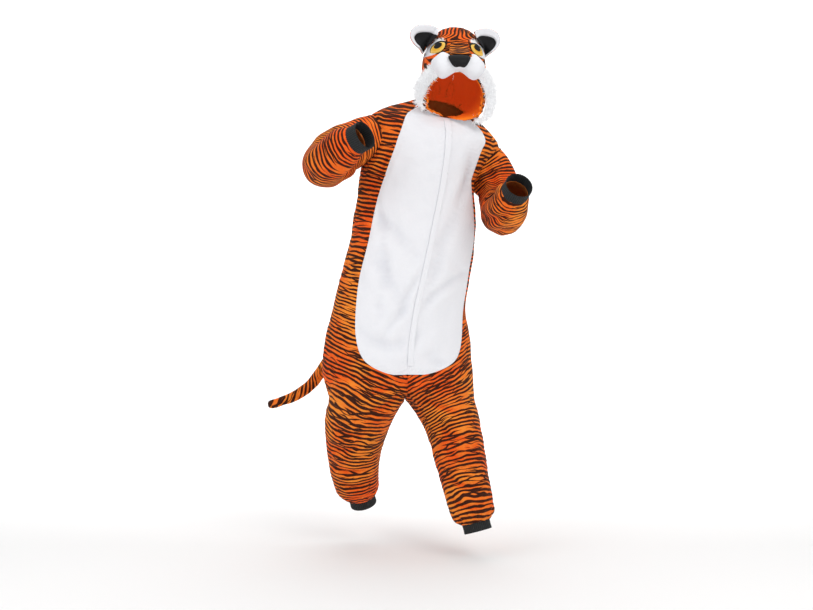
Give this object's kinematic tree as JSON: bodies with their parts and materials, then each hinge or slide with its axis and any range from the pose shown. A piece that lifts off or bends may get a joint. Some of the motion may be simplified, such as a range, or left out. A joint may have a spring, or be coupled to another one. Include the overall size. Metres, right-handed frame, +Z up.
{
  "type": "hooded tiger costume",
  "caption": "Hooded one-piece plush tiger costume, worn pose, hollow, with padded snout, ears, fur-edged face opening, stuffed tail and rib cuffs.",
  "frame": {"origin": "middle of the neck seam, where the costume hangs on its wearer's shoulders", "axes": "+X to the wearer's left, +Y to the wearer's back, +Z up; the wearer faces -Y"},
  "size_m": [0.8661, 0.6878, 1.6281],
  "materials": {
    "tiger_plush": "short orange plush with dark stripes",
    "white_plush": "short white plush",
    "white_fur": "long white pile fur",
    "black_rib": "black rib knit",
    "black_plush": "black short plush",
    "orange_lining": "smooth orange lining",
    "amber_felt": "amber felt"
  },
  "bodies": {
    "root": {"ankle_cuff_left": "black_rib", "ankle_cuff_right": "black_rib", "back_left": "tiger_plush", "back_right": "tiger_plush", "belly_left": "white_plush", "belly_right": "white_plush", "ear_back_left": "tiger_plush", "ear_back_right": "tiger_plush", "ear_inner_left": "black_plush", "ear_inner_right": "black_plush", "ear_rim_left": "white_plush", "ear_rim_right": "white_plush", "eye_iris_left": "amber_felt", "eye_iris_right": "amber_felt", "eye_pupil_left": "black_plush", "eye_pupil_right": "black_plush", "eye_surround_left": "white_plush", "eye_surround_right": "white_plush", "front_left": "tiger_plush", "front_placket": "white_plush", "front_right": "tiger_plush", "fur_trim": "white_fur", "hood_crown": "tiger_plush", "hood_lining_crown": "orange_lining", "hood_lining_left": "orange_lining", "hood_lining_right": "orange_lining", "hood_side_left": "tiger_plush", "hood_side_right": "tiger_plush", "muzzle": "white_plush", "nose": "black_plush", "nose_bridge": "tiger_plush", "sleeve_left": "tiger_plush", "sleeve_right": "tiger_plush", "tail": "tiger_plush", "wrist_cuff_left": "black_rib", "wrist_cuff_right": "black_rib"}
  },
  "joints": []
}
